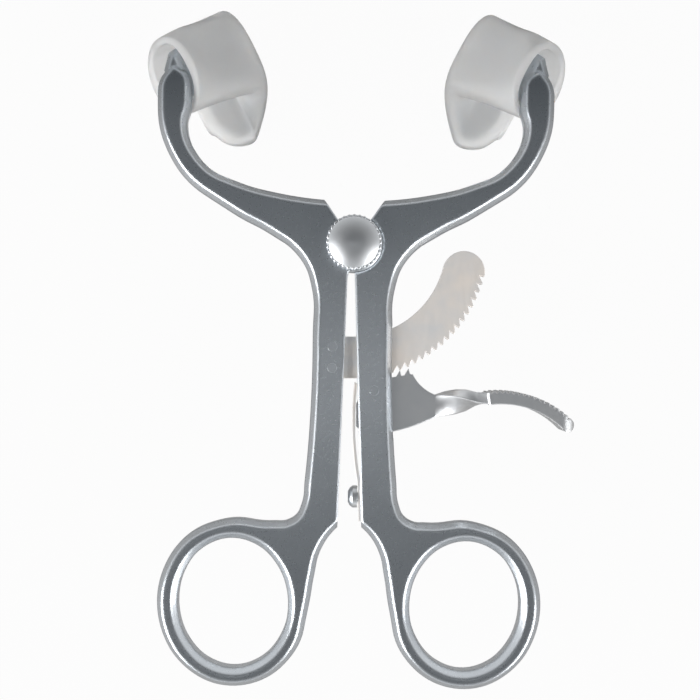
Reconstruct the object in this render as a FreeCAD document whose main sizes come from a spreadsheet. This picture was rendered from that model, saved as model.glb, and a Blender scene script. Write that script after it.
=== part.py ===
import FreeCAD, Part
import math
import os

# Driving sizes, in millimetres and degrees. The arms lie flat, back faces at z = 0.
# u is the distance from the middle plane, y runs up towards the jaws.
SIZES = {
    # forged arms
    "arm_thickness": 5.5,
    "arm_bevel_width": 1.2,
    "arm_bevel_depth": 1.7,
    "ring_inner_bevel": 1.3,
    "shank_foot_y": -59.0,
    "left_inner_top": 1.25,
    "left_inner_foot": 2.6,
    "right_inner_top": 0.3,
    "right_inner_foot": 2.4,
    "inner_top_y": -7.0,
    "notch_corner_u": 6.3,
    "notch_corner_y": 9.1,
    # finger rings
    "ring_inner_u": 12.6,
    "ring_top_y": -61.5,
    "ring_opening_width": 23.0,
    "ring_opening_height": 27.0,
    "ring_side_band": 4.3,
    "ring_end_band": 3.9,
    "ring_lean": 3.0,
    # lap joint and pivot screw
    "lap_radius": 5.9,
    "lap_clearance": 0.1,
    "lap_face_gap": 0.06,
    "pivot_shank_diameter": 5.0,
    "pivot_thread_diameter": 4.2,
    "pivot_running_clearance": 0.05,
    "pivot_head_diameter": 11.4,
    "pivot_head_edge": 3.1,
    "pivot_head_dome": 1.3,
    "pivot_head_gap": 0.05,
    "pivot_head_step": 0.55,
    "pivot_head_flat": 3.0,
    "knurl_count": 32,
    "knurl_depth": 0.45,
    "knurl_width": 0.8,
    # ratchet bar
    "bar_thickness": 2.0,
    "bar_tip_radius": 28.0,
    "bar_inner_radius": 19.3,
    "tooth_height": 1.15,
    "tooth_pitch": 3.5,
    "tooth_count": 18,
    "tooth_steep_offset": 0.25,
    "tooth_land": 0.2,
    "bar_tongue_end": 6.6,
    "tongue_clearance": 0.04,
    "rivet_diameter": 1.95,
    "rivet_u": 4.15,
    "rivet_edge_distance": 2.15,
    "fit_clearance": 0.02,
    # slot in the right arm
    "slot_width": 2.3,
    "slot_top_y": -17.0,
    "slot_end_margin": 1.1,
    # release lever
    "lever_thickness": 2.0,
    "lever_pin_u": 4.6,
    "lever_pin_drop": 2.4,
    "lever_pin_diameter": 2.0,
    "lever_boss_radius": 2.3,
    "lever_pin_clearance": 0.04,
    "lever_engage_angle": 9.4,
    "pawl_gap_angle": -65.9,
    "pawl_teeth": 2,
    "pawl_tooth_clearance": 0.2,
    "lever_tail_u": 0.95,
    "lever_tail_length": 8.8,
    "neck_width": 4.6,
    "pad_arc_radius": 20.8,
    "pad_thickness": 2.7,
    "pad_width": 9.0,
    "pad_arc_centre_out": 26.5,
    "pad_arc_centre_drop": 20.5,
    "pad_start_angle": 98.5,
    "pad_end_angle": 44.5,
    "pad_corner_radius": 3.0,
    "serration_count": 16,
    "serration_pitch": 3.2,
    "serration_depth": 0.5,
    # leaf spring and its screw
    "spring_thickness": 0.6,
    "spring_width": 4.0,
    "spring_foot_y": -57.6,
    "spring_screw_y": -52.7,
    "spring_screw_head_diameter": 4.6,
    "spring_screw_head_height": 1.95,
    "spring_screw_shank_diameter": 2.2,
    "spring_screw_length": 4.6,
    "spring_screw_gap": 0.1,
    "spring_slot_width": 0.6,
    "spring_slot_depth": 0.7,
    # hooked blades, in the frame where each jaw is closed on the middle plane
    "jaw_half_angle": 27.4,
    "knee_u": 16.6,
    "leg_dive": 45.0,
    "bend_centre_u": 8.4,
    "bend_centre_z": -12.5,
    "bend_radius": 5.0,
    "blade_root_thickness": 4.6,
    "blade_thickness": 2.2,
    "lip_tip_u": 14.2,
    # silicone tip covers
    "cover_wall": 2.1,
    "cover_clearance": 0.15,
    "cover_mouth_rim": 1.2,
    "cover_mouth_start": 0.25,
    "cover_mouth_y": 48.75,
    "cover_mouth_half_width": 8.3,
    "cover_mouth_half_depth": 7.5,
    "cover_mouth_drop": 2.2,
    "cover_flare_length": 10.0,
    "cover_bend_crown": 0.6,
    "cover_squareness": 0.75,
}

doc = FreeCAD.newDocument("mouth_gag")
sheet = doc.addObject("Spreadsheet::Sheet", "Sizes")
for row, (alias, value) in enumerate(SIZES.items(), start=1):
    sheet.set(f"A{row}", alias)
    sheet.set(f"B{row}", str(value))
    sheet.setAlias(f"B{row}", alias)
doc.recompute()


def size(alias):
    return float(sheet.get(alias))


def vec(u, y, z=0.0):
    return FreeCAD.Vector(u, y, z)


def polar(radius, degrees):
    angle = math.radians(degrees)
    return (radius * math.cos(angle), radius * math.sin(angle))


# Outlines of the forging, for the right-hand side: u is positive away from the middle plane.
HORN_INNER = [(14.8, 10.15), (23.6, 12.3), (30.8, 15.8), (35.1, 24.3)]
HORN_TIP = [(34.3, 28.6), (36.1, 36.0), (38.1, 36.8), (39.9, 35.2)]
HORN_OUTER = [(41.25, 27.1), (37.3, 15.6), (25.0, 5.9), (17.7, 2.0), (12.6, -1.5), (9.9, -5.2)]
SHANK_OUTER = [(8.6, -9.5), (8.3, -20.0), (8.45, -32.5), (9.5, -49.0)]
RING_NECK = [(10.05, -54.0), (11.2, -56.6), (13.2, -57.85), (16.0, -58.05)]
RING_INNER_SIDE = [(7.35, -69.5), (6.2, -64.3), (4.6, -61.3)]

T = size("arm_thickness")
MID = T / 2


def origin_plane(body, role):
    for feature in body.Origin.OriginFeatures:
        if feature.Role == role:
            return feature
    raise ValueError(role)


def new_body(label):
    body = doc.addObject("PartDesign::Body", label)
    body.Label = label
    return body


def add_sketch(body, name, geometry, role="XY_Plane", offset=None):
    sketch = body.newObject("Sketcher::SketchObject", name)
    sketch.AttachmentSupport = [(origin_plane(body, role), "")]
    sketch.MapMode = "FlatFace"
    if offset is not None:
        sketch.AttachmentOffset = offset
    sketch.addGeometry(geometry, False)
    return sketch


def lines(points, closed=True):
    ends = points[1:] + points[:1] if closed else points[1:]
    starts = points if closed else points[:-1]
    return [Part.LineSegment(vec(*a), vec(*b)) for a, b in zip(starts, ends)]


def spline(points):
    curve = Part.BSplineCurve()
    curve.interpolate([vec(*p) for p in points])
    return curve


def circle_through(a, b, c):
    """Direction of travel, at b, of the circle through three points."""
    back, ahead = b - a, c - b
    return (back * (ahead.Length / back.Length) + ahead * (back.Length / ahead.Length)).normalize()


def arc_from(start, direction, end):
    """Arc that leaves start in the given direction and reaches end."""
    chord = end - start
    left = FreeCAD.Vector(-direction.y, direction.x, 0.0)
    centre = start + left * (chord.dot(chord) / (2.0 * chord.dot(left)))
    towards = ((start - centre) + (end - centre)).normalize()
    return Part.Arc(start, centre + towards * (start - centre).Length, end)


def arcs(points, closed=False):
    """Smooth chain of arcs through the points, two arcs to a span, with no corner between them."""
    places = [vec(*p) for p in points]
    count = len(places)
    directions = []
    for index, place in enumerate(places):
        if closed or 0 < index < count - 1:
            directions.append(circle_through(places[index - 1], place, places[(index + 1) % count]))
        else:
            directions.append(None)
    if not closed:
        for end, near in ((0, 1), (-1, -2)):
            chord = (places[near] - places[end]).normalize()
            mirrored = chord * (2.0 * chord.dot(directions[near])) - directions[near]
            directions[end] = mirrored
    chain = []
    for index in range(count if closed else count - 1):
        start, end = places[index], places[(index + 1) % count]
        leave, arrive = directions[index], directions[(index + 1) % count]
        span = end - start
        both = leave + arrive
        spread = 2.0 * (1.0 - leave.dot(arrive))
        along = span.dot(both)
        if spread < 1e-9:
            reach = span.dot(span) / (2.0 * along)
        else:
            reach = (math.sqrt(along ** 2 + spread * span.dot(span)) - along) / spread
        joint = (start + end + (leave - arrive) * reach) * 0.5
        chain.append(arc_from(start, leave, joint))
        chord = (joint - start).normalize()
        chain.append(arc_from(joint, chord * 2.0 * chord.dot(leave) - leave, end))
    return chain


def pad(body, sketch, alias=None, midplane=False, reverse=False, length=None):
    feature = body.newObject("PartDesign::Pad", sketch.Name + "_pad")
    feature.Profile = sketch
    if alias is not None:
        feature.setExpression("Length", alias)
    if length is not None:
        feature.Length = length
    if midplane:
        feature.SideType = "Symmetric"
    feature.Reversed = reverse
    sketch.Visibility = False
    doc.recompute()
    return feature


def pocket(body, sketch, alias=None, midplane=False, reverse=False, length=None):
    before = body.Shape.Volume
    feature = body.newObject("PartDesign::Pocket", sketch.Name + "_pocket")
    feature.Profile = sketch
    if alias is not None:
        feature.setExpression("Length", alias)
    if length is not None:
        feature.Length = length
    if midplane:
        feature.SideType = "Symmetric"
    feature.Reversed = reverse
    doc.recompute()
    if not body.Shape.Volume < before - 1e-6:
        raise ValueError(f"{sketch.Name} cuts nothing")
    return feature


def circle(radius, centre=(0.0, 0.0)):
    return Part.Circle(vec(*centre), FreeCAD.Vector(0, 0, 1), radius)


def at_height(z, u=0.0, y=0.0):
    return FreeCAD.Placement(FreeCAD.Vector(u, y, z), FreeCAD.Rotation())


def side_points(side, points):
    return [(side * u, y) for u, y in points]


def pin_centre():
    """Axis of the release lever, just outside the bar's tooth tips."""
    return (size("lever_pin_u"), -size("bar_tip_radius") - size("lever_pin_drop"))


def tail_y():
    return pin_centre()[1] - size("lever_tail_length")


def rivet_heights():
    edge = size("rivet_edge_distance")
    return (-size("bar_inner_radius") - edge, -size("bar_tip_radius") + edge)


def ring_centre():
    """Centre of a finger ring, held by the opening's inner side and top."""
    return (
        size("ring_inner_u") + size("ring_opening_width") / 2,
        size("ring_top_y") - size("ring_opening_height") / 2,
    )


def ring_point(offset_side, offset_end, degrees):
    """Point of the leaning ring ellipse, grown by the given bands."""
    half_width = size("ring_opening_width") / 2 + offset_side
    half_height = size("ring_opening_height") / 2 + offset_end
    lean = math.radians(-size("ring_lean"))
    centre = ring_centre()
    x = half_width * math.cos(math.radians(degrees))
    y = half_height * math.sin(math.radians(degrees))
    return (
        centre[0] + x * math.cos(lean) - y * math.sin(lean),
        centre[1] + x * math.sin(lean) + y * math.cos(lean),
    )


def arm_outline(side, inner_top, inner_foot):
    """Closed outline of one forging, through the pivot centre, horn, shank and ring."""
    corner = (size("notch_corner_u"), size("notch_corner_y"))
    foot = (inner_foot, size("shank_foot_y"))
    bands = (size("ring_side_band"), size("ring_end_band"))
    start, end = 88.0, -176.0
    steps = 8
    ring = [ring_point(*bands, start + (end - start) * k / steps) for k in range(steps + 1)]
    horn = [corner] + HORN_INNER + HORN_TIP + HORN_OUTER
    contour = horn + SHANK_OUTER + RING_NECK + ring + RING_INNER_SIDE + [foot]
    inner = [foot, (inner_top, size("inner_top_y")), (0.0, 0.0), corner]
    return [*arcs(side_points(side, contour)), *lines(side_points(side, inner), closed=False)]


def curved_face_edges(shape, heights):
    """Names of the curved edges that lie in the given z planes."""
    names = []
    for index, edge in enumerate(shape.Edges, start=1):
        box = edge.BoundBox
        if box.ZLength > 1e-4 or isinstance(edge.Curve, Part.Line):
            continue
        if any(abs(box.ZMin - z) < 1e-3 for z in heights):
            names.append(f"Edge{index}")
    return names


def forge(label, side, inner_top, inner_foot):
    body = new_body(label)
    outline = add_sketch(body, label + "_outline", arm_outline(side, inner_top, inner_foot))
    plate = pad(body, outline, "Sizes.arm_thickness")
    names = curved_face_edges(plate.Shape, (0.0, T))
    bevel = body.newObject("PartDesign::Chamfer", label + "_bevel")
    bevel.Base = (plate, names)
    bevel.ChamferType = "Two distances"
    bevel.setExpression("Size", "Sizes.arm_bevel_depth")
    bevel.setExpression("Size2", "Sizes.arm_bevel_width")
    doc.recompute()
    return body


left = forge("left_arm", -1, size("left_inner_top"), size("left_inner_foot"))
right = forge("right_arm", 1, size("right_inner_top"), size("right_inner_foot"))


def cylinder(label, radius, height, base, axis=FreeCAD.Vector(0, 0, 1)):
    shape = doc.addObject("Part::Cylinder", label)
    shape.Label = label
    shape.setExpression("Radius", radius)
    shape.setExpression("Height", height)
    shape.Placement = FreeCAD.Placement(base, FreeCAD.Rotation(FreeCAD.Vector(0, 0, 1), axis))
    return shape


# Blade geometry. Each jaw is drawn in the frame where it is closed on the middle plane, then
# swung open by half the jaw angle about the pivot.
def swung(side, u, y):
    """Place a closed-frame point (u inwards negative away from the middle plane) on its open side."""
    angle = math.radians(size("jaw_half_angle"))
    x_open = u * math.cos(angle) - y * math.sin(angle)
    y_open = u * math.sin(angle) + y * math.cos(angle)
    return (-side * x_open, y_open)


BEND_STEPS = 5


def blade_path():
    """Stations of the blade's middle line: (u, z, dive), from inside the horn to the lip's tip."""
    dive = size("leg_dive")
    slope = math.radians(dive)
    centre = (-size("bend_centre_u"), size("bend_centre_z"))
    radius = size("bend_radius")
    knee = (-size("knee_u"), MID)
    bend = (centre[0] + radius * math.sin(slope), centre[1] + radius * math.cos(slope))
    stations = [(knee[0] - 2.6, MID, 0.0), (knee[0] - 0.3, MID - 0.35, dive * 0.45)]
    for share in (0.2, 0.6):
        stations.append((knee[0] + (bend[0] - knee[0]) * share, knee[1] + (bend[1] - knee[1]) * share, dive))
    for step in range(BEND_STEPS + 1):
        turn = dive + (180.0 - dive) * step / BEND_STEPS
        angle = math.radians(turn)
        stations.append((centre[0] + radius * math.sin(angle), centre[1] + radius * math.cos(angle), turn))
    depth = centre[1] - radius
    reach = size("lip_tip_u") - size("bend_centre_u")
    for share in (0.4, 0.7, 0.88, 1.0):
        stations.append((centre[0] - reach * share, depth, 180.0))
    return stations


# Middle height and half width of the metal at each station.
BLADE_MIDDLE = [46.8, 48.1, 48.5, 49.2, 50.1, 50.3, 50.2, 49.3, 48.0, 46.6, 46.2, 46.2, 46.2, 46.2]
BLADE_HALF_WIDTH = [3.3, 5.0, 5.5, 6.2, 7.2, 7.6, 8.2, 9.3, 10.7, 11.8, 11.6, 10.6, 8.9, 6.2]
# Bevels of the metal's edges and of the sleeve's cavity at its mouth, as shares across and in depth.
BLADE_EDGE = (0.1, 0.7)
MOUTH_EDGES = [(0.42, 0.5), (0.42, 0.5), (0.2, 0.5)]


def blade_sections(grow, end_grow):
    """Sections as (u, y, z, dive, half width, half thickness), grown by a wall on every side."""
    root = size("blade_root_thickness") / 2
    thin = size("blade_thickness") / 2
    sections = []
    stations = blade_path()
    for index, (u, z, dive) in enumerate(stations):
        share = min(1.0, index / 4)
        half = root + (thin - root) * share
        half_width = BLADE_HALF_WIDTH[index] + grow
        sections.append([u, BLADE_MIDDLE[index], z, dive, half_width, half + grow])
    for index in range(len(sections) - 3, len(sections)):
        share = (index - (len(sections) - 4)) / 3
        sections[index][0] -= end_grow * share
    return sections


def bar_outline(half_width, half_thickness, across_share, depth_share):
    """Eight corners of a flat bar with bevelled edges, whose bevels are shares of the half sizes."""
    depth = half_thickness * depth_share
    across = max(half_width * across_share, depth)
    w, h = half_width - across, half_thickness - depth
    return [(half_width, h), (w, half_thickness), (-w, half_thickness), (-half_width, h),
            (-half_width, -h), (-w, -half_thickness), (w, -half_thickness), (half_width, -h)]


def section_placement(side, u, y, z, dive):
    x, y_open = swung(side, u, y)
    tip_x, tip_y = swung(side, u, y + 1.0)
    ahead_x, ahead_y = swung(side, u + 1.0, y)
    across = FreeCAD.Vector(tip_x - x, tip_y - y_open, 0.0)
    flat = FreeCAD.Vector(ahead_x - x, ahead_y - y_open, 0.0)
    slope = math.radians(dive)
    along = flat * math.cos(slope) + FreeCAD.Vector(0, 0, -1) * math.sin(slope)
    normal = along.cross(across)
    rotation = FreeCAD.Rotation(across, normal, along, "ZXY")
    return FreeCAD.Placement(FreeCAD.Vector(x, y_open, z), rotation)


def add_blade(body, side):
    """Flat blade, lofted through its stations."""
    sketches = []
    for index, (u, y, z, dive, half_width, half_thickness) in enumerate(blade_sections(0.0, 0.0)):
        outline = bar_outline(half_width, half_thickness, *BLADE_EDGE)
        name = f"{body.Label}_blade_{index}"
        sketches.append(add_sketch(body, name, lines(outline), offset=section_placement(side, u, y, z, dive)))
    feature = body.newObject("PartDesign::AdditiveLoft", body.Label + "_blade")
    feature.Profile = sketches[0]
    feature.Sections = sketches[1:]
    feature.Ruled = True
    doc.recompute()
    return feature


def add_ring_opening(body, side):
    points = [ring_point(0.0, 0.0, angle) for angle in range(0, 360, 30)]
    opening = add_sketch(body, body.Label + "_opening", arcs(side_points(side, points), closed=True))
    cut = pocket(body, opening, "Sizes.arm_thickness", reverse=True)
    centre = vec(side * ring_centre()[0], ring_centre()[1])
    names = []
    for index, edge in enumerate(cut.Shape.Edges, start=1):
        box = edge.BoundBox
        flat = box.ZLength < 1e-4 and (abs(box.ZMin) < 1e-3 or abs(box.ZMin - T) < 1e-3)
        middle = edge.valueAt((edge.FirstParameter + edge.LastParameter) / 2)
        if flat and (vec(middle.x, middle.y) - centre).Length < size("ring_opening_height") / 2 + 0.3:
            names.append(f"Edge{index}")
    bevel = body.newObject("PartDesign::Chamfer", body.Label + "_opening_bevel")
    bevel.Base = (cut, names)
    bevel.setExpression("Size", "Sizes.ring_inner_bevel")
    doc.recompute()
    return bevel


def lap(body, front):
    """Half-lap disc: the front half on the left arm, the back half on the right arm."""
    disc = add_sketch(body, body.Label + "_disc", [circle(size("lap_radius"))])
    pad(body, disc, "Sizes.arm_thickness")
    recess = [circle(size("lap_radius") + size("lap_clearance"))]
    depth = MID + size("lap_face_gap") / 2
    if front:
        cut = add_sketch(body, body.Label + "_recess", recess)
        pocket(body, cut, length=depth, reverse=True)
        hole = size("pivot_shank_diameter") / 2 + size("pivot_running_clearance")
    else:
        cut = add_sketch(body, body.Label + "_recess", recess, offset=at_height(T))
        pocket(body, cut, length=depth)
        hole = size("pivot_thread_diameter") / 2 + size("fit_clearance")
    bore = add_sketch(body, body.Label + "_bore", [circle(hole)])
    pocket(body, bore, "Sizes.arm_thickness", reverse=True)


def box_cut(body, name, u_range, y_range, width, side=1):
    """Rectangular cut across the plate's mid thickness."""
    (near, far), (low, high) = u_range, y_range
    corners = side_points(side, [(near, low), (far, low), (far, high), (near, high)])
    sketch = add_sketch(body, name, lines(corners), offset=at_height(MID))
    return pocket(body, sketch, length=width, midplane=True)


def finish_left(body):
    add_ring_opening(body, -1)
    lap(body, front=True)
    gap = size("tongue_clearance")
    outer = size("bar_tip_radius") + gap
    inner = size("bar_inner_radius") - gap
    box_cut(body, "bar_socket", (-1.0, size("bar_tongue_end") + gap), (-outer, -inner),
            size("bar_thickness") + 2 * gap, side=-1)
    radius = size("rivet_diameter") / 2 + size("fit_clearance")
    holes = [circle(radius, (-size("rivet_u"), y)) for y in rivet_heights()]
    sketch = add_sketch(body, "rivet_holes", holes)
    pocket(body, sketch, "Sizes.arm_thickness", reverse=True)
    add_blade(body, -1)


def finish_right(body):
    add_ring_opening(body, 1)
    lap(body, front=False)
    bottom = tail_y() - size("slot_end_margin")
    box_cut(body, "through_slot", (-1.0, 14.0), (bottom, size("slot_top_y")), size("slot_width"))
    radius = size("lever_pin_diameter") / 2 + size("fit_clearance")
    hole = add_sketch(body, "pin_hole", [circle(radius, pin_centre())])
    pocket(body, hole, "Sizes.arm_thickness", reverse=True)
    tapped = size("spring_screw_shank_diameter") / 2 + size("fit_clearance")
    place = FreeCAD.Placement(FreeCAD.Vector(size("spring_screw_y"), MID, 0.0), FreeCAD.Rotation())
    screw_hole = add_sketch(body, "screw_hole", [circle(tapped)], role="YZ_Plane", offset=place)
    pocket(body, screw_hole, length=size("spring_screw_length") + spring_face_u() + 0.2, reverse=True)
    add_blade(body, 1)


def inner_face_u(y):
    """Inner face of the right shank at height y."""
    top, foot = size("inner_top_y"), size("shank_foot_y")
    share = (top - y) / (top - foot)
    return size("right_inner_top") + (size("right_inner_foot") - size("right_inner_top")) * share


def spring_face_u():
    return inner_face_u(size("spring_screw_y")) - size("spring_thickness")


def make_pivot_screw():
    body = new_body("pivot_screw")
    head = size("pivot_head_diameter") / 2
    shank = size("pivot_shank_diameter") / 2
    thread = size("pivot_thread_diameter") / 2
    seat = T + size("pivot_head_gap")
    rim = seat + size("pivot_head_edge")
    top = rim + size("pivot_head_dome")
    step = MID + size("lap_face_gap") / 2
    end = 0.0
    face = head - size("pivot_head_step")
    stem = [(0.0, end), (thread, end), (thread, step), (shank, step), (shank, seat)]
    geometry = lines([*stem, (head, seat), (head, rim)], closed=False)
    rise = top - rim
    sphere = (face ** 2 + rise ** 2) / (2.0 * rise)

    def dome(radius):
        return vec(radius, top - sphere + math.sqrt(sphere ** 2 - radius ** 2))

    flat = size("pivot_head_flat") / 2
    slope = (dome(face), dome((face + flat) / 2), dome(flat))
    crown = [(p.x, p.y) for p in slope]
    geometry += lines([(head, rim), *crown, (0.0, slope[-1].y), (0.0, end)], closed=False)
    profile = add_sketch(body, "screw_profile", geometry, role="XZ_Plane")
    turned = body.newObject("PartDesign::Revolution", "screw_turned")
    turned.Profile = profile
    turned.ReferenceAxis = (profile, ["V_Axis"])
    turned.Angle = 360.0
    doc.recompute()
    half = size("knurl_width") / 2
    notch = lines([(head - size("knurl_depth"), 0.0), (head + 0.3, -half * 1.6), (head + 0.3, half * 1.6)])
    sketch = add_sketch(body, "knurl_notch", notch, offset=at_height(seat))
    cut = pocket(body, sketch, length=top - seat, reverse=True)
    pattern = body.newObject("PartDesign::PolarPattern", "knurl")
    pattern.Originals = [cut]
    pattern.Axis = (sketch, ["N_Axis"])
    pattern.Angle = 360.0
    pattern.setExpression("Occurrences", "Sizes.knurl_count")
    body.Tip = pattern
    doc.recompute()
    return body


def make_ratchet_bar():
    body = new_body("ratchet_bar")
    tip, inner = size("bar_tip_radius"), size("bar_inner_radius")
    middle = (tip + inner) / 2
    half = (tip - inner) / 2
    end = size("pawl_gap_angle") + (size("tooth_count") - 3) * size("tooth_pitch")
    crown = polar(middle, end + math.degrees(half / middle))
    tongue = size("bar_tongue_end")
    geometry = [
        Part.Arc(vec(*polar(inner, -90)), vec(*polar(inner, (end - 90) / 2)), vec(*polar(inner, end))),
        Part.Arc(vec(*polar(inner, end)), vec(*crown), vec(*polar(tip, end))),
        Part.Arc(vec(*polar(tip, end)), vec(*polar(tip, (end - 90) / 2)), vec(*polar(tip, -90))),
        *lines([(0.0, -tip), (-tongue, -tip), (-tongue, -inner), (0.0, -inner)], closed=False),
    ]
    outline = add_sketch(body, "bar_outline", geometry, offset=at_height(MID))
    pad(body, outline, "Sizes.bar_thickness", midplane=True)
    outside = tip + 0.2
    root = tip - size("tooth_height")
    lean = size("tooth_steep_offset") * outside / tip
    gap = lines([
        polar(root, end),
        polar(outside, end + lean),
        polar(outside, end - size("tooth_pitch") + size("tooth_land") + lean),
    ])
    notch = add_sketch(body, "tooth_gap", gap, offset=at_height(MID))
    cut = pocket(body, notch, length=size("bar_thickness") + 0.2, midplane=True)
    pattern = body.newObject("PartDesign::PolarPattern", "teeth")
    pattern.Originals = [cut]
    pattern.Axis = (notch, ["N_Axis"])
    pattern.Reversed = True
    pattern.Mode = "Spacing"
    pattern.setExpression("Offset", "Sizes.tooth_pitch")
    pattern.setExpression("Occurrences", "Sizes.tooth_count")
    body.Tip = pattern
    doc.recompute()
    radius = size("rivet_diameter") / 2 + size("fit_clearance")
    holes = [circle(radius, (-size("rivet_u"), y)) for y in rivet_heights()]
    sketch = add_sketch(body, "bar_rivet_holes", holes, offset=at_height(MID))
    pocket(body, sketch, length=size("bar_thickness") + 0.2, midplane=True)
    return body


def turned_about_pin(point, degrees):
    pin = vec(*pin_centre())
    turned = FreeCAD.Rotation(FreeCAD.Vector(0, 0, 1), degrees).multVec(vec(*point) - pin) + pin
    return (turned.x, turned.y)


def pawl_points():
    """Toothed nose of the pawl, drawn engaged in the bar, then turned back clear of the teeth."""
    clear = size("pawl_tooth_clearance")
    tip = size("bar_tip_radius") + clear
    root = size("bar_tip_radius") - size("tooth_height") + clear
    pitch = size("tooth_pitch")
    points = []
    for index in reversed(range(int(size("pawl_teeth")))):
        angle = size("pawl_gap_angle") - index * pitch
        back = 0.3 * index
        points.append(polar(tip, angle - pitch * 0.72))
        points.append(polar(root, angle - 0.28 - back))
        points.append(polar(tip, angle - 0.1 - back))
    points.append(polar(tip + clear, size("pawl_gap_angle") + 1.0))
    return [turned_about_pin(point, -size("lever_engage_angle")) for point in points]


# Upper and lower edges of the lever's blade, from its pin.
LEVER_UPPER = [(8.9, 2.1), (10.5, 0.5), (12.8, -0.75)]
LEVER_LOWER = [(12.8, -5.4), (7.5, -7.65), (4.0, -8.6)]


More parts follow.
